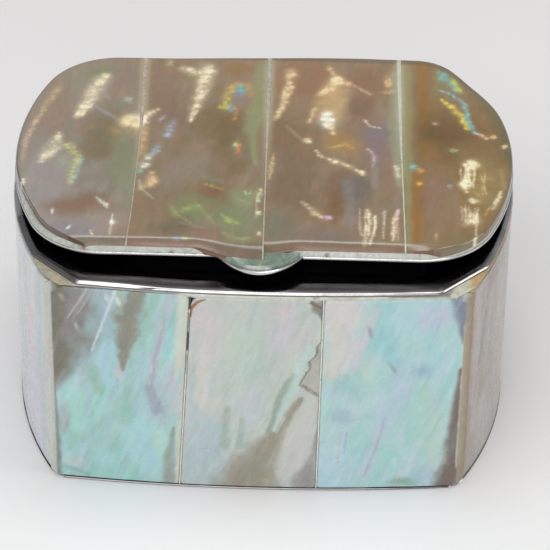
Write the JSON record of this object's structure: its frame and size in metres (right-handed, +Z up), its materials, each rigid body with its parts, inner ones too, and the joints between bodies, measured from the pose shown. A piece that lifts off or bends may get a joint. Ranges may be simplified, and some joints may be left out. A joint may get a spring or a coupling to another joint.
{
  "type": "trinket box",
  "caption": "Small sheet-metal trinket box clad with mother-of-pearl slabs, with a hinged shell lid and a thumb tab.",
  "frame": {"origin": "under the middle of the box, on the surface it stands on", "axes": "+Z up, front towards -Y, +X to the right of someone facing the front, the hinge along X at the back"},
  "size_m": [0.0704, 0.0524, 0.04],
  "materials": {
    "polished_metal": "polished nickel silver, worn",
    "pin_metal": "plain drawn wire",
    "body_shell": "polished mother-of-pearl, pale green, blue and grey",
    "lid_shell": "polished dark mother-of-pearl, brown and olive",
    "tab_shell": "polished mother-of-pearl, mint green"
  },
  "bodies": {
    "case": {"case": "polished_metal", "front_panel_left": "body_shell", "front_panel_middle": "body_shell", "front_panel_right": "body_shell", "back_panel_left": "body_shell", "back_panel_middle": "body_shell", "back_panel_right": "body_shell", "end_panel_left_front": "body_shell", "end_panel_left_rear": "body_shell", "end_panel_right_front": "body_shell", "end_panel_right_rear": "body_shell", "hinge_pin": "pin_metal"},
    "lid": {"lid_plate": "polished_metal", "lid_strip_1": "lid_shell", "lid_strip_2": "lid_shell", "lid_strip_3": "lid_shell", "lid_strip_4": "lid_shell", "tab_inlay": "tab_shell"}
  },
  "joints": [
    {"name": "lid_hinge", "type": "hinge", "parent": "case", "child": "lid", "pos_m": [0, 0.0252, 0.0355], "axis": [-1, 0, 0], "range_deg": [-2.1, 98]}
  ]
}
